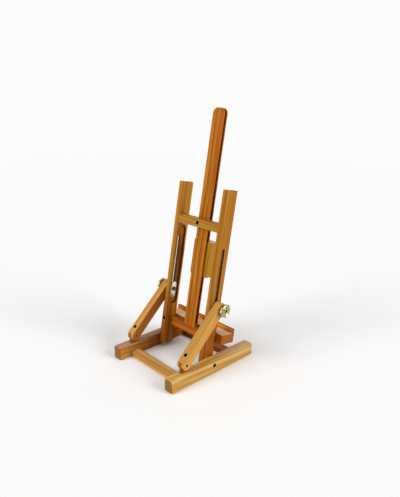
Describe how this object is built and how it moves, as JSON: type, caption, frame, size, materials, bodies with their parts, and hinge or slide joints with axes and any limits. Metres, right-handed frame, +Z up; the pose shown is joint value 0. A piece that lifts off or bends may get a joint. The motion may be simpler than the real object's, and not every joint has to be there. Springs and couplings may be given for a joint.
{
  "type": "tabletop easel",
  "caption": "Tabletop wooden easel with a rectangular base, a leaning H-frame held by slotted struts and brass knobs, a canvas tray, and a sliding canvas clamp on a grooved mast.",
  "frame": {"origin": "on the table, under the middle of the base", "axes": "+Z up, -Y to the tray side where the painter sits, +X to the painter's right"},
  "size_m": [0.1766, 0.203, 0.456],
  "materials": {
    "honey_pine": "satin lacquer",
    "dowel_wood": "bare",
    "polished_brass": "polished",
    "plated_steel": "bright plated",
    "dark_steel": "blackened"
  },
  "bodies": {
    "base": {"right_rail": "honey_pine", "left_rail": "honey_pine", "right_hinge_tongue": "honey_pine", "left_hinge_tongue": "honey_pine", "rear_cross_rail": "honey_pine", "front_cross_rail": "honey_pine", "rail_dowels": "dowel_wood"},
    "frame": {"right_upright": "honey_pine", "left_upright": "honey_pine", "upper_crossbar": "honey_pine", "lower_crossbar": "honey_pine", "crossbar_dowels": "dowel_wood", "mast": "honey_pine", "mast_screws": "dark_steel", "tray_shelf": "honey_pine", "tray_lip": "honey_pine", "tray_screws": "dark_steel", "pivot_screws": "dark_steel", "pivot_washers": "plated_steel"},
    "right_strut_arm": {"right_strut": "honey_pine", "right_strut_screw": "dark_steel", "right_hinge_pin": "dark_steel"},
    "left_strut_arm": {"left_strut": "honey_pine", "left_strut_screw": "dark_steel", "left_hinge_pin": "dark_steel"},
    "right_bolt_carriage": {"right_slot_bolt": "dark_steel", "right_nut_plate": "plated_steel", "right_spacer_washer": "plated_steel", "right_knob_washer": "plated_steel"},
    "left_bolt_carriage": {"left_slot_bolt": "dark_steel", "left_nut_plate": "plated_steel", "left_spacer_washer": "plated_steel", "left_knob_washer": "plated_steel"},
    "right_knob_turn": {"right_knob": "polished_brass"},
    "left_knob_turn": {"left_knob": "polished_brass"},
    "canvas_clamp": {"clamp_block": "honey_pine", "clamp_insert": "polished_brass"},
    "clamp_knob_turn": {"clamp_knob": "polished_brass", "clamp_screw": "dark_steel"}
  },
  "joints": [
    {"name": "frame_tilt", "type": "hinge", "parent": "base", "child": "frame", "pos_m": [0, 0.002, 0.0165], "axis": [-1, 0, 0], "range_deg": [-8, 24]},
    {"name": "right_strut_swing", "type": "hinge", "parent": "base", "child": "right_strut_arm", "pos_m": [0.071, 0.0642, 0.0385], "axis": [-1, 0, 0], "range_deg": [-9.9, 29.4]},
    {"name": "right_bolt_slide", "type": "slide", "parent": "frame", "child": "right_bolt_carriage", "axis": [0, -0.1607, 0.987], "range_m": [-0.0108, 0.0321]},
    {"name": "right_knob_turn", "type": "hinge", "parent": "right_bolt_carriage", "child": "right_knob_turn", "pos_m": [0.085, -0.01884, 0.11645], "axis": [1, 0, 0], "continuous": true},
    {"name": "left_strut_swing", "type": "hinge", "parent": "base", "child": "left_strut_arm", "pos_m": [-0.071, 0.0642, 0.0385], "axis": [-1, 0, 0], "range_deg": [-9.9, 29.4]},
    {"name": "left_bolt_slide", "type": "slide", "parent": "frame", "child": "left_bolt_carriage", "axis": [0, -0.1607, 0.987], "range_m": [-0.0108, 0.0321]},
    {"name": "left_knob_turn", "type": "hinge", "parent": "left_bolt_carriage", "child": "left_knob_turn", "pos_m": [-0.085, -0.01884, 0.11645], "axis": [-1, 0, 0], "continuous": true},
    {"name": "clamp_slide", "type": "slide", "parent": "frame", "child": "canvas_clamp", "axis": [0, -0.1607, 0.987], "range_m": [-0.08, 0.22]},
    {"name": "clamp_knob_turn", "type": "hinge", "parent": "canvas_clamp", "child": "clamp_knob_turn", "pos_m": [0, -0.06281, 0.18426], "axis": [0, -0.987, -0.1607], "continuous": true}
  ],
  "couplings": [
    {"joint": "right_strut_swing", "follows": "frame_tilt", "ratio": 1.2205},
    {"joint": "right_bolt_slide", "follows": "frame_tilt", "m_per_rad": 0.076454},
    {"joint": "left_strut_swing", "follows": "frame_tilt", "ratio": 1.2205},
    {"joint": "left_bolt_slide", "follows": "frame_tilt", "m_per_rad": 0.076454}
  ]
}
